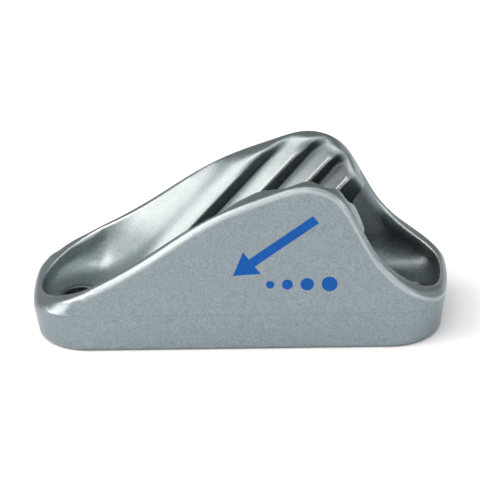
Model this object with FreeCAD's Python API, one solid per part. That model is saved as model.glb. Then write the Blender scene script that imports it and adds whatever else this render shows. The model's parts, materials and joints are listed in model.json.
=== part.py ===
import FreeCAD, Part
import math
import os

from FreeCAD import Vector

# A jam cleat for small rope, cast in one piece. Millimetres, +Z up, X along the rope.
# The loaded end of the rope leaves at -X, and Y = 0 is the plane of symmetry.

# Outline seen from above, at the parting line
length = 66.0
width = 23.5
corner_radius = 7.0
base_corner_radius = 8.0
end_crown_radius = 50.0

# Outer walls: they lean in above the parting line and tuck in below it
parting_height = 6.5
side_tuck = 0.5
end_tuck = 1.1
upper_draft = math.radians(3.0)
base_edge_chamfer = 0.45
rim_edge_chamfer = 0.7
rim_edge_break = 0.22

# Line of the rim seen from the side. Insets are measured from the nearer end of the casting.
peak_height = 28.05
peak_inset = 21.7
load_end_height = 5.4
load_foot_inset = 11.7
load_foot_height = 11.7
low_slope_inset = 18.7
low_slope_height = 15.85
slope_x = -7.2
slope_height = 20.7
shoulder_x = -0.9
shoulder_height = 24.15
crown_x = 5.9
crown_height = 26.75
brow_inset = 16.8
brow_height = 26.2
drop_start_inset = 14.25
drop_start_height = 22.6
tail_drop_inset = 12.3
tail_drop_height = 18.6
tail_bend_inset = 10.4
tail_bend_height = 15.2
tail_foot_inset = 7.4
tail_foot_height = 11.8
tail_end_height = 7.5
load_end_slope = 0.7
tail_end_slope = 0.3

# Relief of the two corners at the loaded end, where the rim is rounder than the base
relief_corner_radius = 11.3
relief_start_inset = 11.0
relief_start_height = 9.5
relief_run_inset = 8.8
relief_run_height = 8.0
relief_run_out = 0.5
relief_first_angle = math.radians(94.0)
relief_last_angle = math.radians(138.0)
relief_steps = 6
relief_least_rise = 0.3
relief_overrun = 0.5
relief_outside = 2.0

# Screw holes, in the bowl at each end
load_hole_inset = 7.8
tail_hole_inset = 6.2
hole_radius = 2.7

# Bowls, at the two ends of the channel
rim_thickness = 1.7
bowl_floor = 4.4
load_bowl_inset = 10.6
tail_bowl_inset = 10.1
load_bowl_end_wall = 1.5
tail_bowl_end_wall = 1.1
load_bowl_fullness = 0.55
tail_bowl_fullness = 0.76
bowl_lean = 0.14
bowl_round = 4.6
bowl_step = 1.5
floor_flat_share = 0.6
least_flat_share = 0.15

# Open entry between the load bowl and the first tooth, rising along the foot of its ramp
entry_start_inset = 18.0
entry_end_x = -0.5
entry_sections = 4
entry_foot_drop = 0.8
entry_foot_out = 0.3
entry_round = 3.0
entry_most_lean = 1.6

# V channel between the entry and the tail bowl
channel_start_inset = 13.5
channel_floor = 8.0
channel_floor_half_width = 2.5
channel_lean = 0.34
channel_round = 2.0
throat_end_x = 11.0
exit_inset = 15.0
exit_floor = 6.6
exit_lean = 0.24
exit_round = 3.2

# Teeth, slanting down to the loaded end on both walls of the channel
tooth_count = 4
tooth_pitch = 6.0
tooth_depth = 1.9
tooth_drop_share = 0.39
tooth_slant = math.radians(44.5)
tooth_crest_radius = 0.25
first_crest_x = -2.2
crest_level_z = 20.0
valley_lift = 0.12
centre_slit = 0.5
rack_reach = 1.2

# How far a cutter runs past what it cuts, and how near counts as touching
clear = 2.0
touching = 0.01


def outline(side_inset, end_inset, corner, z):
    """Blunt outline seen from above, with its sides and ends moved in: round corners and crowned ends."""
    half_length = length / 2 - end_inset
    half_width = width / 2 - side_inset
    crown = end_crown_radius - end_inset
    crown_x = half_length - crown
    corner_y = half_width - corner
    corner_x = crown_x + math.sqrt((crown - corner) ** 2 - corner_y ** 2)
    turn = math.atan2(corner_y, corner_x - crown_x)
    meet = Vector(crown_x + crown * math.cos(turn), crown * math.sin(turn), z)
    bend = (turn + math.pi / 2) / 2
    middle = Vector(corner_x + corner * math.cos(bend), corner_y + corner * math.sin(bend), z)
    side = Vector(corner_x, half_width, z)
    tip = Vector(half_length, 0, z)

    def at(point, sx, sy):
        return Vector(point.x * sx, point.y * sy, point.z)

    edges = []
    for sx, sy in ((1, 1), (-1, 1), (-1, -1), (1, -1)):
        arc = Part.Arc(at(meet, sx, sy), at(middle, sx, sy), at(side, sx, sy)).toShape()
        edges.append(arc)
    edges.append(Part.makeLine(at(side, 1, 1), at(side, -1, 1)))
    edges.append(Part.makeLine(at(side, 1, -1), at(side, -1, -1)))
    for sx in (1, -1):
        edges.append(Part.Arc(at(meet, sx, 1), at(tip, sx, 1), at(meet, sx, -1)).toShape())
    return Part.Wire(Part.__sortEdges__(edges))


def from_load_end(inset):
    """X of a place that lies that far inside the loaded end."""
    return -length / 2 + inset


def from_tail_end(inset):
    """X of a place that lies that far inside the tail end."""
    return length / 2 - inset


def outer_half_width(z):
    """Half width between the leaning outer walls at height z."""
    return width / 2 - (z - parting_height) * math.tan(upper_draft)


def rim_curve():
    """Line of the rim in the plane Y = 0."""
    knots = [
        (from_load_end(-clear), load_end_height - load_end_slope * clear),
        (from_load_end(0), load_end_height),
        (from_load_end(load_foot_inset), load_foot_height),
        (from_load_end(low_slope_inset), low_slope_height),
        (slope_x, slope_height),
        (shoulder_x, shoulder_height),
        (crown_x, crown_height),
        (from_tail_end(peak_inset), peak_height),
        (from_tail_end(brow_inset), brow_height),
        (from_tail_end(drop_start_inset), drop_start_height),
        (from_tail_end(tail_drop_inset), tail_drop_height),
        (from_tail_end(tail_bend_inset), tail_bend_height),
        (from_tail_end(tail_foot_inset), tail_foot_height),
        (from_tail_end(0), tail_end_height),
        (from_tail_end(-clear), tail_end_height - tail_end_slope * clear),
    ]
    curve = Part.BSplineCurve()
    curve.interpolate([Vector(x, 0, z) for x, z in knots])
    return curve


def rim_height(x):
    """Height of the rim at x."""
    curve = rim_curve()
    upright = Part.Line(Vector(x, 0, 0), Vector(x, 0, 1))
    return curve.intersectCC(upright)[0].Z


def above_rim():
    """Everything above the rim line, as a cutter."""
    curve = rim_curve()
    top = peak_height + 2 * clear
    first = curve.value(curve.FirstParameter)
    last = curve.value(curve.LastParameter)
    corner_a = Vector(last.x, 0, top)
    corner_b = Vector(first.x, 0, top)
    wire = Part.Wire([
        curve.toShape(),
        Part.makeLine(last, corner_a),
        Part.makeLine(corner_a, corner_b),
        Part.makeLine(corner_b, first),
    ])
    face = Part.Face(wire)
    face.translate(Vector(0, -width, 0))
    return face.extrude(Vector(0, 2 * width, 0))


def upper_form():
    """Walls that lean in towards the top, cut to the rim line, with the rim's outer edge broken twice."""
    rings = []
    for z in (0, peak_height + clear):
        inset = (z - parting_height) * math.tan(upper_draft)
        rings.append(outline(inset, inset, corner_radius - inset, z))
    form = Part.makeLoft(rings, True, True).cut(above_rim())
    form = form.makeChamfer(rim_edge_chamfer, [e for e in form.Edges if on_rim(e)])
    form = form.makeChamfer(rim_edge_break, [e for e in form.Edges if on_rim(e)])
    relief = corner_relief()
    return form.cut([relief, relief.mirror(Vector(0, 0, 0), Vector(0, 1, 0))])


def relief_section(x, y, z, shift):
    """Section of the corner relief: from the wall up and in to the rounder outline of the rim."""
    centre = Vector(from_load_end(relief_corner_radius), width / 2 - relief_corner_radius, z)
    foot = Vector(x, y, z)
    outward = (foot - centre).normalize()
    top = centre + outward * relief_corner_radius
    top.z = max(rim_height(top.x), z + relief_least_rise)
    step = top - foot
    low = foot - step * relief_overrun + outward * shift
    high = top + step * relief_overrun + outward * shift
    far_out = foot + outward * (shift + relief_outside)
    sky = high.z + relief_outside
    points = [low, high]
    points.append(Vector(high.x, high.y, sky))
    points.append(Vector(far_out.x, far_out.y, sky))
    points.append(Vector(far_out.x, far_out.y, low.z))
    return Part.makePolygon(points + [low])


def corner_relief():
    """Cutter that rounds the rim's corner at the loaded end and runs out of the side and of the end."""
    corner_x = from_load_end(corner_radius)
    corner_y = width / 2 - corner_radius
    start_y = outer_half_width(relief_start_height)
    run_y = outer_half_width(relief_run_height)
    sections = [
        relief_section(from_load_end(relief_start_inset), start_y, relief_start_height, relief_run_out),
        relief_section(from_load_end(relief_run_inset), run_y, relief_run_height, relief_run_out / 4),
    ]
    turn = (relief_last_angle - relief_first_angle) / (relief_steps - 1)
    for k in range(relief_steps):
        angle = relief_first_angle + k * turn
        x = corner_x + corner_radius * math.cos(angle)
        y = corner_y + corner_radius * math.sin(angle)
        shift = relief_run_out if k == relief_steps - 1 else 0.0
        sections.append(relief_section(x, y, parting_height, shift))
    return Part.makeLoft(sections, True, False)


def lower_form():
    """Walls that tuck in towards the base, with the base edge broken."""
    rings = []
    for z, broken in ((0, base_edge_chamfer), (base_edge_chamfer, 0), (peak_height + clear, 0)):
        share = 1 - z / parting_height
        corner = corner_radius + share * (base_corner_radius - corner_radius) - broken
        rings.append(outline(side_tuck * share + broken, end_tuck * share + broken, corner, z))
    return Part.makeLoft(rings, True, True)


def outer_body():
    """Outside of the casting: where both forms meet, their walls cross at the parting line."""
    return upper_form().common(lower_form())


def on_rim(edge):
    """True where an edge lies on the rim line's surface."""
    curve = rim_curve()
    for share in (0.1, 0.5, 0.9):
        at = edge.FirstParameter + share * (edge.LastParameter - edge.FirstParameter)
        point = edge.valueAt(at)
        flat = Vector(point.x, 0, point.z)
        if curve.toShape().distToShape(Part.Vertex(flat))[0] > touching:
            return False
    return True


def half_section(x, floor, lean, rounding, half_width_at_floor):
    """Poles of half a channel section at x, from the middle of its floor up to above the rim."""
    top_z = peak_height + clear
    wall = half_width_at_floor
    flat = max(wall - rounding, least_flat_share * wall)
    return [
        Vector(x, 0, floor),
        Vector(x, floor_flat_share * flat, floor),
        Vector(x, flat, floor),
        Vector(x, wall, floor),
        Vector(x, wall + lean * rounding, floor + rounding),
        Vector(x, wall + lean * 2 * rounding, floor + 2 * rounding),
        Vector(x, wall + lean * (top_z - floor), top_z),
    ]


def clamped_knots(pole_count, degree):
    """Knots and multiplicities of a clamped spline."""
    spans = pole_count - degree
    knots = [k / spans for k in range(spans + 1)]
    mults = [degree + 1] + [1] * (spans - 1) + [degree + 1]
    return knots, mults


def bowl_station(x):
    """Section in the middle of a bowl: x, floor, lean, rounding and half width at the floor."""
    rim = rim_height(x)
    half = outer_half_width(rim) - rim_thickness - bowl_lean * (rim - bowl_floor)
    return (x, bowl_floor, bowl_lean, bowl_round, half)


def recess_half_width(z):
    """Half width of the V channel at height z, between the teeth."""
    return channel_floor_half_width + channel_lean * (z - channel_floor)


def entry_station(x):
    """Section of the entry: it flares from the foot of the first ramp to the rim."""
    foot = tooth_point(-tooth_ramp(), 0)
    floor = foot.z + (x - foot.x) * math.tan(tooth_slant) - entry_foot_drop
    half = recess_half_width(floor) + entry_foot_out
    rim = rim_height(x)
    rise = max(rim - floor, touching)
    lean = min((outer_half_width(rim) - rim_thickness - half) / rise, entry_most_lean)
    return (x, floor, lean, entry_round, half)


def exit_station(x):
    """Section where the channel opens to the tail bowl."""
    rim = rim_height(x)
    half = outer_half_width(rim) - rim_thickness - exit_lean * (rim - exit_floor)
    return (x, exit_floor, exit_lean, exit_round, half)


def throat_station(x):
    """Section of the plain V that carries the teeth."""
    return (x, channel_floor, channel_lean, channel_round, channel_floor_half_width)


def beside(station, step):
    """The same section a step further along, so that the trough starts level."""
    return (station[0] + step,) + station[1:]


def trough(stations):
    """Hollow whose two walls are smooth surfaces through the sections at the stations."""
    rows = [half_section(*station) for station in stations]
    across_knots, across_mults = clamped_knots(len(rows[0]), 3)
    along_knots, along_mults = clamped_knots(len(rows), 3)
    faces = []
    for sign in (1, -1):
        poles = [[Vector(p.x, sign * p.y, p.z) for p in row] for row in rows]
        surface = Part.BSplineSurface()
        surface.buildFromPolesMultsKnots(
            poles, along_mults, across_mults, along_knots, across_knots, False, False, 3, 3)
        faces.append(surface.toShape())

    def border(face, test):
        return [e for e in face.Edges if test(e.BoundBox)][0]

    top_z = peak_height + clear
    first_x, last_x = rows[0][0].x, rows[-1][0].x
    tops = [border(f, lambda b: b.ZMin > top_z - touching) for f in faces]
    corners = [sorted((v.Point for v in e.Vertexes), key=lambda p: p.x) for e in tops]
    start_line = Part.makeLine(corners[0][0], corners[1][0])
    end_line = Part.makeLine(corners[0][1], corners[1][1])
    walls = faces + [Part.Face(Part.Wire(Part.__sortEdges__([tops[0], start_line, tops[1], end_line])))]
    for x, line in ((first_x, start_line), (last_x, end_line)):
        sides = [border(f, lambda b: max(abs(b.XMin - x), abs(b.XMax - x)) < touching) for f in faces]
        walls.append(Part.Face(Part.Wire(Part.__sortEdges__(sides + [line]))))
    return closed(walls)


def bowl_end(station, side, end_wall, fullness):
    """Rounded end of a bowl, from the section at station on. A fuller end is squarer seen from above."""
    x, floor, lean, rounding, half = station
    profile = half_section(0, floor, lean, rounding, half)
    end_x = side * (length / 2 - end_wall)
    reach = abs(end_x - x) / (half + lean * (rim_height(end_x) - floor))
    quarter = [(0, 1), (fullness, 1), (1, fullness), (1, 0)]
    plan = quarter + [(along, -across) for along, across in reversed(quarter[:-1])]
    poles = []
    for along, across in plan:
        poles.append([Vector(x + side * reach * along * p.y, across * p.y, p.z) for p in profile])
    knots, mults = clamped_knots(len(profile), 3)
    surface = Part.BSplineSurface()
    surface.buildFromPolesMultsKnots(poles, [4, 3, 4], mults, [0, 1, 2], knots, False, False, 3, 3)
    wall = surface.toShape()
    rim = [e for e in wall.Edges if e.BoundBox.ZMin > profile[-1].z - touching]
    start = []
    for edge in wall.Edges:
        box = edge.BoundBox
        if abs(box.XMin - x) + abs(box.XMax - x) < touching and edge.Length > touching:
            start.append(edge)
    chord = Part.makeLine(poles[0][-1], poles[-1][-1])
    lid = Part.Face(Part.Wire(Part.__sortEdges__(rim + [chord])))
    front = Part.Face(Part.Wire(Part.__sortEdges__(start + [chord])))
    return closed([wall, lid, front])


def closed(faces):
    """Solid inside faces that meet along their edges."""
    shell = Part.makeShell(faces)
    shell.sewShape()
    solid = Part.makeSolid(shell)
    if solid.Volume < 0:
        solid.reverse()
    return solid


def entry_hollow():
    """Load bowl and the flared entry that rises from it to the first tooth."""
    bowl = bowl_station(from_load_end(load_bowl_inset))
    stations = [bowl, beside(bowl, bowl_step)]
    start = from_load_end(entry_start_inset)
    step = (entry_end_x - start) / (entry_sections - 1)
    for k in range(entry_sections):
        stations.append(entry_station(start + k * step))
    end = bowl_end(bowl, -1, load_bowl_end_wall, load_bowl_fullness)
    return trough(stations).fuse(end)


def channel_hollow():
    """Tail bowl and the V channel, with the teeth left standing on both of its walls."""
    bowl = bowl_station(from_tail_end(tail_bowl_inset))
    start = from_load_end(channel_start_inset)
    middle = (start + throat_end_x) / 2
    stations = [throat_station(x) for x in (start, middle, throat_end_x)]
    stations += [exit_station(from_tail_end(exit_inset)), beside(bowl, -bowl_step), bowl]
    teeth = rack()
    mirrored = teeth.mirror(Vector(0, 0, 0), Vector(0, 1, 0))
    end = bowl_end(bowl, 1, tail_bowl_end_wall, tail_bowl_fullness)
    return trough(stations).fuse(end).cut([teeth, mirrored])


def tooth_directions():
    """Across the teeth, out of the +Y wall and along the teeth: three unit directions."""
    wall_turn = math.atan(channel_lean)
    normal = Vector(0, -math.cos(wall_turn), math.sin(wall_turn))
    run = Vector(1, channel_lean * math.tan(tooth_slant), math.tan(tooth_slant)).normalize()
    across = normal.cross(run).normalize()
    return across, normal, run


def tooth_point(along, height):
    """Point on the +Y wall, that far along from the first crest and that high out of the wall."""
    across, normal, run = tooth_directions()
    crest_y = recess_half_width(crest_level_z) - tooth_depth / normal.dot(Vector(0, -1, 0))
    crest = Vector(first_crest_x, crest_y, crest_level_z)
    return crest + across * along + normal * (height - tooth_depth)


def tooth_step():
    """Distance from crest to crest, square to the teeth."""
    return tooth_pitch * tooth_directions()[0].x


def tooth_ramp():
    """Length of a tooth's long face, square to the teeth."""
    return tooth_step() * (1 - tooth_drop_share)


def rack():
    """Saw teeth that stand on the +Y wall of the channel, running past its floor and above the rim."""
    step = tooth_step()
    ramp = tooth_ramp()
    tall = tooth_depth - valley_lift
    into_wall = valley_lift + clear
    last = (tooth_count - 1) * step
    points = [tooth_point(-ramp - into_wall * ramp / tall, -clear), tooth_point(0, tooth_depth)]
    for k in range(1, tooth_count):
        points.append(tooth_point(k * step - ramp, valley_lift))
        points.append(tooth_point(k * step, tooth_depth))
    points.append(tooth_point(last + (tooth_depth + clear) * (step - ramp) / tall, -clear))
    run = tooth_directions()[2]
    reach = rack_reach * peak_height
    profile = Part.Face(Part.makePolygon(points + [points[0]]))
    profile.translate(run * -reach)
    teeth = profile.extrude(run * 2 * reach)
    teeth = teeth.makeFillet(tooth_crest_radius, [e for e in teeth.Edges if is_crest(e)])
    keep = Part.makeBox(2 * length, width, 2 * peak_height, Vector(-length, centre_slit, clear))
    return teeth.common(keep)


def is_crest(edge):
    """True for an edge that runs along a tooth's crest."""
    if len(edge.Vertexes) < 2:
        return False
    crest = tooth_point(0, tooth_depth)
    normal = tooth_directions()[1]
    return all(abs((v.Point - crest).dot(normal)) < touching for v in edge.Vertexes)


def screw_holes():
    """Upright holes through the floors of both bowls."""
    places = (from_load_end(load_hole_inset), from_tail_end(tail_hole_inset))
    return [Part.makeCylinder(hole_radius, peak_height, Vector(x, 0, -clear)) for x in places]


def cleat_body():
    """The casting: drafted outside, with the bowls, the toothed channel and the screw holes cut out."""
    return outer_body().cut([entry_hollow(), channel_hollow()] + screw_holes())


os.makedirs("parts", exist_ok=True)
cleat_body().exportStep("parts/cleat_body.step")
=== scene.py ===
import json
import math

import bmesh
import bpy
import numpy as np
from mathutils import Matrix, Vector


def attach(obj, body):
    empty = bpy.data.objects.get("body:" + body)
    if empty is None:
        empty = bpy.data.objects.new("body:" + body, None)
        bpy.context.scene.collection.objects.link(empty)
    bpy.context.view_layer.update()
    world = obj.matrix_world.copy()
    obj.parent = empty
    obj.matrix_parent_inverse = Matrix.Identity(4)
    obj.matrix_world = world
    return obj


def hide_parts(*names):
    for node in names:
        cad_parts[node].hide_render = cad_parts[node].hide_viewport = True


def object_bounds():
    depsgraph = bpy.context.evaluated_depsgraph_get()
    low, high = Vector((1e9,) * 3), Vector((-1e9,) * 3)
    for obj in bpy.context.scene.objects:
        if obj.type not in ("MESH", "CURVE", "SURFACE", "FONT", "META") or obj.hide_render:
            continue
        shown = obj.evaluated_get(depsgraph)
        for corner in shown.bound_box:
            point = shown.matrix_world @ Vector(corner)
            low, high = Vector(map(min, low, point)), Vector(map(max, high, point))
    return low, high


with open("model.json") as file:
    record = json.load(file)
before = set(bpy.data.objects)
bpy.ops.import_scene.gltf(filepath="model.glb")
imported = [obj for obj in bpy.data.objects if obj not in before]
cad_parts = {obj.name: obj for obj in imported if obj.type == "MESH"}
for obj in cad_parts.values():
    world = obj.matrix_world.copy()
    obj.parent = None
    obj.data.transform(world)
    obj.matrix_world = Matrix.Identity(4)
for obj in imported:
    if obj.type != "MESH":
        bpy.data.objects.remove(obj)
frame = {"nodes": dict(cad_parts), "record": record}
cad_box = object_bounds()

# Camera, fitted to the photograph's frame of 480 by 480 pixels, with 6.27 of them to the millimetre
PIXEL = 0.001 / 6.27
AZIMUTH = math.radians(-2.0)
ELEVATION = math.radians(27.0)
ROLL = math.radians(1.7)
FRAME_WIDTH = 480 * PIXEL
BASE_MIDDLE_RIGHT = 0.5 * PIXEL
BASE_MIDDLE_DOWN = 76.4 * PIXEL
LENS = 400.0
SENSOR = 36.0
CLIP_START = 0.01
CLIP_END = 20.0

# Softened copy of the casting: distance within which corners merge, cell of the remesh, and most triangles
MERGE_DISTANCE = 0.000001
CELL = 0.00016
MOST_TRIANGLES = 190000

# Outer walls: height of the mould's parting line, half width there, and how far they lean in above it
PARTING_LINE = 0.0065
WALL_HALF_WIDTH = cad_box[1][1]
WALL_DRAFT = math.radians(3.0)

# A vertex is on an outer wall past this x, or where it faces outwards this much, but not where it faces up or
# down more than this
OUTER_FROM_X = cad_box[1][0] - 0.0018
OUTWARD = 0.1
UPRIGHT = 0.75

# Screw holes in the two bowls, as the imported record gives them: x of each, and their radius
SCREWS = next(mount for mount in frame["record"]["mounts"] if mount["name"] == "screw_holes")
SCREW_SPACING = SCREWS["dims"]["spacing_x_mm"] * 0.001
HOLE_RADIUS = SCREWS["dims"]["hole_r_mm"] * 0.001
LOAD_HOLE = SCREWS["pos_m"][0] - SCREW_SPACING / 2
TAIL_HOLE = SCREWS["pos_m"][0] + SCREW_SPACING / 2

# Rounds of smoothing everywhere
EVEN_ROUNDS = 6

# Rounds of smoothing on the rim's inner edge beside the teeth: how deep it reaches, how far along, and how
# near to the outer wall
RIM_ROUNDS = 80
RIM_DEPTH = 0.0012
RIM_FADE = 0.0012
RIM_SOFT_FROM = 0.0
RIM_SOFT_TO = 0.0200
RIM_END_FADE = 0.0040
RIM_OUTER_KEPT = 0.0006
RIM_OUTER_FADE = 0.0006

# Rounds of smoothing in the slanting hollows where the toothed part begins and ends: x of each at the base,
# and its half width
HOLLOW_ROUNDS = 220
HOLLOWS = ((-0.0255, 0.0030), (0.0036, 0.0030))
TOOTH_SLANT = math.radians(44.5)
CHANNEL_HALF_WIDTH = 0.0098

# Rounds of smoothing in the two bowls: x where each fades out, the side it lies on, and its screw hole, whose
# edge is kept as it is
BOWL_ROUNDS = 420
BOWLS = ((-0.0180, -1, LOAD_HOLE), (0.0200, 1, TAIL_HOLE))
BOWL_FADE = 0.0035
BOWL_FROM_DEPTH = 0.0020
BOWL_HALF_WIDTH = 0.0105
HOLE_KEPT = HOLE_RADIUS + 0.0003
HOLE_FADE = 0.0006
BASE_KEPT = 0.0035

# Smoothing at the inner ends of the relieved corners: where they are, and for the near side, -1, and the far
# side, 1, the rounds and how far they reach
RELIEF_END = (-0.0248, 0.0112, 0.0088)
RELIEFS = ((-1, 40, 0.0028), (1, 70, 0.0036))

# Edge wear and painted shade: rounds of smoothing it is measured against, the step between the two that
# counts as full wear or full shade, and the height where it begins; proud edges are partly real wear and
# partly painted highlight, and hollows get painted shade
WEAR_SHADE_ROUNDS = 12
WEAR_SHADE_STEP = 0.00004
WEAR_SHADE_FROM_HEIGHT = 0.0060
WEAR_SHADE_FADE = 0.0012

# Flat land on top of the rim, which gets neither bright wear nor painted highlight: how far it may turn
# sideways, where along the cleat it ends, and how deep it goes
LAND_TURN = 0.35
LAND_TURN_FADE = 0.25
LAND_END = 0.0300
LAND_END_FADE = 0.0015
LAND_DEPTH = 0.0006

# Painted shade: depth between the jaws where the painted darkening begins, where along the cleat that begins,
# its share on the bowl's floor, and its reach and share round the screw holes; what faces down more than this
# has none
SHADE_FROM_DEPTH = 0.0004
SHADE_FADE = 0.0011
SHADE_FROM_X = 0.0040
SHADE_X_FADE = 0.0120
SHADE_FLOOR = 0.0045
SHADE_FLOOR_FADE = 0.0050
SHADE_FLOOR_SHARE = 0.5
HOLE_SHADE_REACH = HOLE_RADIUS + 0.0004
HOLE_SHADE_SHARE = 0.75
UNDERSIDE = -0.9

# Mark printed on the near wall: x along the wall, and height above the base
PRINT_PROUD = 0.000025
PRINT_SUNK = 0.00005
ARROW_TIP = (-0.0006, 0.0132)
ARROW_TAIL = (0.0126, 0.0226)
ARROW_SHAFT = 0.0015
ARROW_HEAD_LENGTH = 0.0037
ARROW_HEAD_WIDTH = 0.0046
DOTS_HEIGHT = 0.0116
DOTS = ((0.0052, 0.0013), (0.0079, 0.0017), (0.0110, 0.0021), (0.0145, 0.0025))
DOT_SIDES = 32

# Colours, linear
ALLOY = (0.29, 0.353, 0.383)
ALLOY_DARK = (0.18, 0.221, 0.242)
ALLOY_INSIDE = (0.29, 0.345, 0.356)
ALLOY_INSIDE_DARK = (0.18, 0.216, 0.225)
# Brighter alloy on proud edges: partly real wear, partly painted highlight
ALLOY_WORN_AND_HIGHLIGHT = (0.47, 0.512, 0.51)
# Darker alloy: painted shade in hollows; the parting line also takes this colour as its own
ALLOY_CREASE_SHADE_AND_SEAM = (0.13, 0.155, 0.165)
# Darker alloy, in a darker and a lighter grain: painted shade deep between the jaws and round the screw holes
ALLOY_PAINTED_SHADE = (0.09, 0.11, 0.118)
ALLOY_PAINTED_SHADE_DARK = (0.04, 0.05, 0.055)
PRINT_BLUE = (0.0005, 0.055, 0.27)
PRINT_BLUE_THIN = (0.003, 0.09, 0.34)
WHITE = (1.0, 1.0, 1.0)
WARM_WHITE = (1.0, 0.87, 0.82)
FLOOR_WHITE = (0.96, 0.965, 0.965)

# Grain of the cast alloy, fine and broad: scale, detail and roughness of the noise, and the range in use
GRAIN = (3400.0, 2.0, 0.65)
MOTTLE = (700.0, 3.0, 0.55)
GRAIN_RANGE = (0.3, 0.7)
MOTTLE_SHARE = 0.18
GRAIN_BUMP_STRENGTH = 0.6
GRAIN_BUMP_HEIGHT = 0.00003

# Finish of the alloy: roughness over the grain, painted shade that darkens hollows and wear, partly painted
# highlight, that brightens edges, and how strong the parting line is, with the half widths of its core and of
# its soft edge
ALLOY_ROUGHNESS = (0.3, 0.44)
SUNK_SHADE = (-1.0, -0.1)
PROUD_WEAR_AND_HIGHLIGHT = (0.25, 1.0)
PARTING_STRENGTH = 0.2
PARTING_HALF_WIDTHS = (0.00004, 0.00016)

# Finish of the ink
INK_RANGE = (0.3, 0.75)
INK_ROUGHNESS = 0.5
INK_SPECULAR = 0.15

# Floor of the studio
FLOOR_REACH = 4.0
FLOOR_ROUGHNESS = 0.9

# Light of the studio by direction: where it comes from, cosines at its edge and in its middle, and its level
SKY_LEVEL = 1.15
SKY_LOBES = (
    ((0.0, 0.9, 0.42), 0.45, 0.92, 0.33),
    ((1.0, 0.1, 0.1), 0.5, 0.9, 0.6),
)

# Soft lamps: direction, width, height, power and colour, all at one distance from the object
LAMP_DISTANCE = 0.45
LAMPS = {
    "key_light": ((-0.74, -0.12, 0.66), 0.32, 0.32, 1.05, WARM_WHITE),
    "front_left_light": ((-0.78, -0.5, 0.38), 0.2, 0.2, 0.3, WARM_WHITE),
    "top_light": ((-0.12, -0.42, 0.9), 0.2, 0.2, 0.22, WARM_WHITE),
    "right_light": ((0.85, -0.3, 0.42), 0.12, 0.16, 0.16, WHITE),
}


def camera_axes():
    """Right, up and look directions of the camera, with its roll."""
    right = Vector((math.cos(AZIMUTH), -math.sin(AZIMUTH), 0))
    look = Vector((
        math.sin(AZIMUTH) * math.cos(ELEVATION),
        math.cos(AZIMUTH) * math.cos(ELEVATION),
        -math.sin(ELEVATION),
    ))
    up = right.cross(look)
    rolled_right = right * math.cos(ROLL) - up * math.sin(ROLL)
    rolled_up = right * math.sin(ROLL) + up * math.cos(ROLL)
    return rolled_right, rolled_up, look


def make_camera():
    right, up, look = camera_axes()
    data = bpy.data.cameras.new("camera")
    data.sensor_width = SENSOR
    data.lens = LENS
    data.clip_start = CLIP_START
    data.clip_end = CLIP_END
    camera = linked("camera", data)
    distance = FRAME_WIDTH * LENS / SENSOR
    target = up * BASE_MIDDLE_DOWN - right * BASE_MIDDLE_RIGHT
    turn = Matrix((right, up, -look)).transposed().to_4x4()
    camera.matrix_world = Matrix.Translation(target - look * distance) @ turn
    bpy.context.scene.camera = camera


def linked(name, data):
    """A new object for that mesh, lamp or camera, put in the scene."""
    piece = bpy.data.objects.new(name, data)
    bpy.context.scene.collection.objects.link(piece)
    return piece


def new_material(name):
    material = bpy.data.materials.new(name)
    material.use_nodes = True
    tree = material.node_tree
    return material, tree, tree.nodes["Principled BSDF"]


def object_coordinates(tree):
    return tree.nodes.new("ShaderNodeTexCoord").outputs["Object"]


def noise(tree, coords, scale, detail, roughness):
    node = tree.nodes.new("ShaderNodeTexNoise")
    node.inputs["Scale"].default_value = scale
    node.inputs["Detail"].default_value = detail
    node.inputs["Roughness"].default_value = roughness
    tree.links.new(coords, node.inputs["Vector"])
    return node.outputs["Fac"]


def spread(tree, value, low, high, out_low=0.0, out_high=1.0, smooth=False):
    """Maps low..high to out_low..out_high, clamped."""
    node = tree.nodes.new("ShaderNodeMapRange")
    if smooth:
        node.interpolation_type = "SMOOTHSTEP"
    tree.links.new(value, node.inputs["Value"])
    node.inputs["From Min"].default_value = low
    node.inputs["From Max"].default_value = high
    node.inputs["To Min"].default_value = out_low
    node.inputs["To Max"].default_value = out_high
    return node.outputs["Result"]


def combine(tree, operation, *values):
    """A Math node; each value is a number or a socket."""
    node = tree.nodes.new("ShaderNodeMath")
    node.operation = operation
    for socket, value in zip(node.inputs, values):
        if isinstance(value, (int, float)):
            socket.default_value = value
        else:
            tree.links.new(value, socket)
    return node.outputs["Value"]


def mixed(tree, factor, a, b):
    """Colour a where the factor is 0, b where it is 1; each is a tuple or a socket."""
    node = tree.nodes.new("ShaderNodeMix")
    node.data_type = "RGBA"
    tree.links.new(factor, node.inputs["Factor"])
    for socket, value in ((node.inputs[6], a), (node.inputs[7], b)):
        if isinstance(value, tuple):
            socket.default_value = (*value, 1.0)
        else:
            tree.links.new(value, socket)
    return node.outputs[2]


def attribute(tree, name):
    node = tree.nodes.new("ShaderNodeAttribute")
    node.attribute_name = name
    return node.outputs["Fac"]


def parting_line(tree, coords, outer):
    """Faint line that the mould leaves round the outer walls."""
    separate = tree.nodes.new("ShaderNodeSeparateXYZ")
    tree.links.new(coords, separate.inputs["Vector"])
    above_line = combine(tree, "SUBTRACT", separate.outputs["Z"], PARTING_LINE)
    off_line = combine(tree, "ABSOLUTE", above_line)
    on_line = spread(tree, off_line, *PARTING_HALF_WIDTHS, PARTING_STRENGTH, 0.0)
    return combine(tree, "MULTIPLY", on_line, outer)


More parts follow.
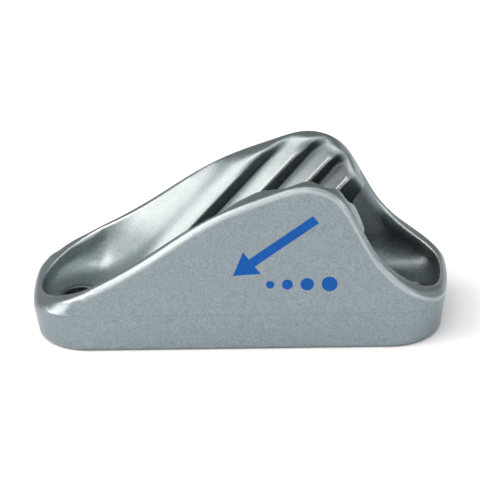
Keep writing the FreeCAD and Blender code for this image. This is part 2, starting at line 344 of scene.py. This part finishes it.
def cast_alloy():
    """Fine-grained satin light alloy, as it leaves a tumbling drum, with painted shade in its hollows, deep
    between the jaws and round the screw holes, and edges brighter from wear that is partly painted highlight.
    """
    material, tree, shader = new_material("cast_alloy")
    coords = object_coordinates(tree)
    grain = noise(tree, coords, *GRAIN)
    mottle = noise(tree, coords, *MOTTLE)
    fine_tone = spread(tree, grain, *GRAIN_RANGE, 0.0, 1.0 - MOTTLE_SHARE)
    broad_tone = spread(tree, mottle, *GRAIN_RANGE, 0.0, MOTTLE_SHARE)
    tone = combine(tree, "ADD", fine_tone, broad_tone)

    outer = attribute(tree, "outer")
    inside = mixed(tree, tone, ALLOY_INSIDE_DARK, ALLOY_INSIDE)
    outside = mixed(tree, tone, ALLOY_DARK, ALLOY)
    shaded = mixed(tree, tone, ALLOY_PAINTED_SHADE_DARK, ALLOY_PAINTED_SHADE)
    cast = mixed(tree, outer, inside, outside)
    # Painted shade deep between the jaws and round the screw holes
    cast = mixed(tree, attribute(tree, "painted_shade"), cast, shaded)
    cast = mixed(tree, parting_line(tree, coords, outer), cast, ALLOY_CREASE_SHADE_AND_SEAM)

    # Painted shade in hollows, and edges brighter from wear that is partly painted highlight
    edge_wear_and_shade = attribute(tree, "edge_wear_and_shade")
    cast = mixed(tree, spread(tree, edge_wear_and_shade, *SUNK_SHADE, 1.0, 0.0), cast, ALLOY_CREASE_SHADE_AND_SEAM)
    cast = mixed(tree, spread(tree, edge_wear_and_shade, *PROUD_WEAR_AND_HIGHLIGHT), cast, ALLOY_WORN_AND_HIGHLIGHT)
    tree.links.new(cast, shader.inputs["Base Color"])
    tree.links.new(spread(tree, grain, *GRAIN_RANGE, *ALLOY_ROUGHNESS), shader.inputs["Roughness"])
    shader.inputs["Metallic"].default_value = 1.0

    bump = tree.nodes.new("ShaderNodeBump")
    bump.inputs["Strength"].default_value = GRAIN_BUMP_STRENGTH
    bump.inputs["Distance"].default_value = GRAIN_BUMP_HEIGHT
    tree.links.new(grain, bump.inputs["Height"])
    tree.links.new(bump.outputs["Normal"], shader.inputs["Normal"])
    return material


def print_ink():
    """Satin blue ink that thins a little over the grain of the metal."""
    material, tree, shader = new_material("print_ink")
    grain = noise(tree, object_coordinates(tree), *GRAIN)
    blue = mixed(tree, spread(tree, grain, *INK_RANGE), PRINT_BLUE, PRINT_BLUE_THIN)
    tree.links.new(blue, shader.inputs["Base Color"])
    shader.inputs["Roughness"].default_value = INK_ROUGHNESS
    shader.inputs["Specular IOR Level"].default_value = INK_SPECULAR
    return material


def floor_paint():
    """Matt white without gloss."""
    material, tree, shader = new_material("floor_white")
    shader.inputs["Base Color"].default_value = (*FLOOR_WHITE, 1.0)
    shader.inputs["Roughness"].default_value = FLOOR_ROUGHNESS
    shader.inputs["Specular IOR Level"].default_value = 0.0
    return material


def apply_modifiers(piece, name):
    """Gives the piece the mesh that its modifiers make, under that name."""
    depsgraph = bpy.context.evaluated_depsgraph_get()
    mesh = bpy.data.meshes.new_from_object(piece.evaluated_get(depsgraph))
    mesh.name = name
    piece.data = mesh
    piece.modifiers.clear()


def places(mesh):
    """The vertices' places as rows of x, y and z."""
    points = np.empty(len(mesh.vertices) * 3)
    mesh.vertices.foreach_get("co", points)
    return points.reshape(-1, 3)


def place_in_box(mesh, points):
    """Puts the vertices at those places, kept inside the CAD box."""
    mesh.vertices.foreach_set("co", np.clip(points, *np.array(cad_box)).ravel())
    mesh.update()


def vertex_normals(mesh):
    normals = np.empty(len(mesh.vertices) * 3)
    mesh.vertex_normals.foreach_get("vector", normals)
    return normals.reshape(-1, 3)


def edge_ends(mesh):
    """The two vertices of each edge, as rows."""
    ends = np.empty(len(mesh.edges) * 2, dtype=np.int32)
    mesh.edges.foreach_get("vertices", ends)
    return ends.reshape(-1, 2)


def write_attribute(mesh, name, values):
    layer = mesh.attributes.new(name, "FLOAT", "POINT")
    layer.data.foreach_set("value", values.astype(np.float32))


def relaxed(points, edges, share, rounds):
    """Moves each point halfway to the middle of its neighbours, times its share, that many times over."""
    moving = share > 0
    near = edges[moving[edges[:, 0]] | moving[edges[:, 1]]]
    used, near = np.unique(near, return_inverse=True)
    near = near.reshape(-1, 2)
    first, second = near[:, 0], near[:, 1]
    count = len(used)
    neighbours = np.bincount(near.ravel(), minlength=count)
    half_share = 0.5 * share[used]
    moved = points.copy()
    for axis in range(3):
        line = points[used, axis]
        for _ in range(rounds):
            total = np.bincount(first, line[second], count) + np.bincount(second, line[first], count)
            line = line + half_share * (total / neighbours - line)
        moved[used, axis] = line
    return moved


def rising(value, start, width):
    """0 up to the start, rising to 1 over that width."""
    return np.clip((value - start) / width, 0, 1)


def near_to(away, reach):
    """1 up to a third of the reach, fading to 0 at its end."""
    return np.clip(1.5 - 1.5 * away / reach, 0, 1)


def depth_below_rim(points):
    """How far each point lies below the rim, which is the highest place at its x."""
    bins = np.round(points[:, 0] / CELL).astype(int)
    bins -= bins.min()
    top = np.full(bins.max() + 1, -1.0)
    np.maximum.at(top, bins, points[:, 2])
    slope = np.gradient(top, CELL)
    return (top[bins] - points[:, 2]) / np.sqrt(1 + slope[bins] ** 2)


def wall_at(height):
    """Half width of the casting at that height, where its walls lean in above the parting line."""
    return WALL_HALF_WIDTH - (height - PARTING_LINE) * math.tan(WALL_DRAFT)


def from_hole(points, hole):
    """How far each point lies from the middle of that screw hole, seen from above."""
    return np.hypot(points[:, 0] - hole, points[:, 1])


def rim_share(points):
    """1 on the rim's inner edge beside the teeth, fading to 0 below it, outside it and past the teeth."""
    x, y, z = points.T
    shallow = 1 - rising(depth_below_rim(points), RIM_DEPTH, RIM_FADE)
    past_teeth = rising(np.maximum(RIM_SOFT_FROM - x, x - RIM_SOFT_TO), 0, RIM_END_FADE)
    inner = rising(wall_at(z) - np.abs(y), RIM_OUTER_KEPT, RIM_OUTER_FADE)
    return shallow * (1 - past_teeth) * inner


def hollow_share(points):
    """1 along the slanting hollows, fading to 0 on both sides."""
    across = points[:, 0] - points[:, 2] / math.tan(TOOTH_SLANT)
    shares = [near_to(np.abs(across - line), half_width) for line, half_width in HOLLOWS]
    return np.max(shares, axis=0) * (np.abs(points[:, 1]) < CHANNEL_HALF_WIDTH)


def bowl_share(points, normals):
    """1 inside the two bowls, fading to 0 at the rim, at the screw hole and towards the channel."""
    x, y, z = points.T
    inside = rising(depth_below_rim(points), BOWL_FROM_DEPTH, BOWL_FROM_DEPTH) * (np.abs(y) < BOWL_HALF_WIDTH)
    share = np.zeros(len(points))
    for end, side, hole in BOWLS:
        within = rising(side * (x - end), -0.5 * BOWL_FADE, BOWL_FADE)
        off_hole = rising(from_hole(points, hole), HOLE_KEPT, HOLE_FADE)
        share = np.maximum(share, within * off_hole * (side * x < OUTER_FROM_X))
    return share * inside * (z > BASE_KEPT) * (1 - outer_share(points, normals))


def relief_share(points, side, reach):
    """1 at the inner end of the relieved corner on that side, fading to 0 around it."""
    x, y, z = RELIEF_END
    return near_to(np.linalg.norm(points - (x, side * y, z), axis=1), reach)


def outer_share(points, normals):
    """1 on the outer walls, 0 between the jaws and in the bowls."""
    outward = normals[:, 1] * np.sign(points[:, 1]) > OUTWARD
    at_end = np.abs(points[:, 0]) > OUTER_FROM_X
    return (outward | at_end) & (np.abs(normals[:, 2]) < UPRIGHT)


def painted_shade(points, normals):
    """Share of painted shade: 0 on open surfaces, up to 1 deep between the jaws and at the screw holes'
    edges.
    """
    x, y, z = points.T
    deep = rising(depth_below_rim(points), SHADE_FROM_DEPTH, SHADE_FADE)
    along = rising(x, SHADE_FROM_X, SHADE_X_FADE)
    above_floor = np.clip((z - SHADE_FLOOR) / SHADE_FLOOR_FADE, SHADE_FLOOR_SHARE, 1)
    off_holes = np.minimum(from_hole(points, LOAD_HOLE), from_hole(points, TAIL_HOLE))
    at_holes = HOLE_SHADE_SHARE * (1 - rising(off_holes, HOLE_SHADE_REACH, HOLE_FADE))
    inside = (1 - outer_share(points, normals)) * (normals[:, 2] > UNDERSIDE)
    return np.maximum(deep * along * above_floor, at_holes) * inside


def land_share(points, normals):
    """1 on the rim's flat land, fading to 0 where it turns towards a side and at its two ends."""
    turned = rising(np.abs(normals[:, 1]), LAND_TURN, LAND_TURN_FADE)
    between_ends = rising(-np.abs(points[:, 0]), -LAND_END, LAND_END_FADE)
    return (1 - turned) * between_ends * (depth_below_rim(points) < LAND_DEPTH)


def edge_wear_and_shade(points, edges, normals):
    """Up to 1 on edges that stand proud, for wear that is partly painted highlight, down to -1 in hollows,
    for painted shade, and 0 near the base.
    """
    smoother = relaxed(points, edges, np.ones(len(points)), WEAR_SHADE_ROUNDS)
    step = np.sum((points - smoother) * normals, axis=1) / WEAR_SHADE_STEP
    proud = np.clip(step, 0, 1) * (1 - land_share(points, normals))
    sunk = np.clip(step, -1, 0)
    return (proud + sunk) * rising(points[:, 2], WEAR_SHADE_FROM_HEIGHT, WEAR_SHADE_FADE)


def remeshed_casting(node):
    """A copy of the CAD casting, remeshed in even small cells."""
    bm = bmesh.new()
    bm.from_mesh(node.data)
    bm.transform(node.matrix_world)
    bmesh.ops.remove_doubles(bm, verts=bm.verts, dist=MERGE_DISTANCE)
    mesh = bpy.data.meshes.new("casting_rough")
    bm.to_mesh(mesh)
    bm.free()

    piece = linked("cleat_casting", mesh)
    remesh = piece.modifiers.new("remesh", "REMESH")
    remesh.mode = "VOXEL"
    remesh.voxel_size = CELL
    apply_modifiers(piece, "casting_fine")
    return piece


def softened_casting(node):
    """A copy of the casting with every edge rounded off, as tumbling leaves it."""
    piece = remeshed_casting(node)
    mesh = piece.data
    points, edges, normals = places(mesh), edge_ends(mesh), vertex_normals(mesh)
    # Share of painted shade, measured on the remeshed casting before smoothing
    shade_share = painted_shade(points, normals)
    points = relaxed(points, edges, hollow_share(points), HOLLOW_ROUNDS)
    points = relaxed(points, edges, bowl_share(points, normals), BOWL_ROUNDS)
    for side, rounds, reach in RELIEFS:
        points = relaxed(points, edges, relief_share(points, side, reach), rounds)
    points = relaxed(points, edges, rim_share(points), RIM_ROUNDS)
    points = relaxed(points, edges, np.ones(len(points)), EVEN_ROUNDS)
    place_in_box(mesh, points)

    points, normals = places(mesh), vertex_normals(mesh)
    # Stored for the material: edge wear that is partly painted highlight with painted shade in hollows, and
    # the painted shade between the jaws
    write_attribute(mesh, "edge_wear_and_shade", edge_wear_and_shade(points, edges, normals))
    write_attribute(mesh, "painted_shade", shade_share)
    write_attribute(mesh, "outer", outer_share(points, normals))

    thin = piece.modifiers.new("thin", "DECIMATE")
    thin.ratio = min(1.0, MOST_TRIANGLES / (2 * len(mesh.polygons)))
    apply_modifiers(piece, "cleat_casting")
    piece.data.validate()
    place_in_box(piece.data, places(piece.data))
    piece.data.shade_smooth()
    return piece


def onto_near_wall():
    """Takes x, height and the distance out of the near wall to their place in the frame."""
    lean = math.tan(WALL_DRAFT)
    return Matrix((
        (1, 0, 0, 0),
        (0, lean, -math.cos(WALL_DRAFT), -WALL_HALF_WIDTH - PARTING_LINE * lean),
        (0, 1, math.sin(WALL_DRAFT), 0),
        (0, 0, 0, 1),
    ))


def arrow_outline():
    """Plain arrow from its tail to its tip, which points to the loaded end."""
    tip, tail = Vector(ARROW_TIP), Vector(ARROW_TAIL)
    along = (tip - tail).normalized()
    across = Vector((-along.y, along.x))
    neck = tip - along * ARROW_HEAD_LENGTH
    half, barb = across * ARROW_SHAFT / 2, across * ARROW_HEAD_WIDTH / 2
    return [tail - half, neck - half, neck - barb, tip, neck + barb, neck + half, tail + half]


def printed_mark():
    """Thin layer of ink on the near wall: an arrow towards the loaded end over a row of growing dots."""
    bm = bmesh.new()
    bm.faces.new([bm.verts.new((*point, -PRINT_SUNK)) for point in arrow_outline()])
    for x, size in DOTS:
        middle = Matrix.Translation((x, DOTS_HEIGHT, -PRINT_SUNK))
        bmesh.ops.create_circle(bm, cap_ends=True, segments=DOT_SIDES, radius=size / 2, matrix=middle)
    layer = bmesh.ops.extrude_face_region(bm, geom=bm.faces[:])
    front = [item for item in layer["geom"] if isinstance(item, bmesh.types.BMVert)]
    bmesh.ops.translate(bm, verts=front, vec=(0, 0, PRINT_SUNK + PRINT_PROUD))
    bmesh.ops.transform(bm, verts=bm.verts, matrix=onto_near_wall())
    bmesh.ops.recalc_face_normals(bm, faces=bm.faces)
    mesh = bpy.data.meshes.new("pull_mark")
    bm.to_mesh(mesh)
    bm.free()
    return linked("pull_mark", mesh)


def facing(direction, distance):
    """Place at that distance from the object, turned so that -Z faces it."""
    at = Vector(direction).normalized() * distance
    return Matrix.Translation(at) @ (-at).to_track_quat("-Z", "Y").to_matrix().to_4x4()


def soft_lamps():
    for name, (direction, width, height, power, colour) in LAMPS.items():
        light = bpy.data.lights.new(name, "AREA")
        light.color = colour
        light.shape = "RECTANGLE"
        light.size = width
        light.size_y = height
        light.energy = power
        linked(name, light).matrix_world = facing(direction, LAMP_DISTANCE)


def white_floor():
    bm = bmesh.new()
    bmesh.ops.create_grid(bm, x_segments=1, y_segments=1, size=FLOOR_REACH)
    mesh = bpy.data.meshes.new("floor")
    bm.to_mesh(mesh)
    bm.free()
    mesh.materials.append(floor_paint())
    linked("floor", mesh)


def studio_sky():
    """Soft light from all round, darker behind the object and to its right."""
    world = bpy.data.worlds.new("studio")
    world.use_nodes = True
    tree = world.node_tree
    direction = tree.nodes.new("ShaderNodeTexCoord").outputs["Generated"]
    level = SKY_LEVEL
    for towards, edge, middle, value in SKY_LOBES:
        facing_it = tree.nodes.new("ShaderNodeVectorMath")
        facing_it.operation = "DOT_PRODUCT"
        tree.links.new(direction, facing_it.inputs[0])
        facing_it.inputs[1].default_value = Vector(towards).normalized()
        share = spread(tree, facing_it.outputs["Value"], edge, middle, 1.0, value, smooth=True)
        level = combine(tree, "MULTIPLY", level, share)
    tree.nodes["Background"].inputs["Color"].default_value = (*WHITE, 1.0)
    tree.links.new(level, tree.nodes["Background"].inputs["Strength"])
    bpy.context.scene.world = world


bpy.context.scene.view_settings.view_transform = "Standard"
make_camera()
studio_sky()
white_floor()
soft_lamps()

casting = softened_casting(frame["nodes"]["cleat_body"])
casting.data.materials.clear()
casting.data.materials.append(cast_alloy())
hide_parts("cleat_body")
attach(casting, "root")

mark = printed_mark()
mark.data.materials.append(print_ink())
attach(mark, "root")
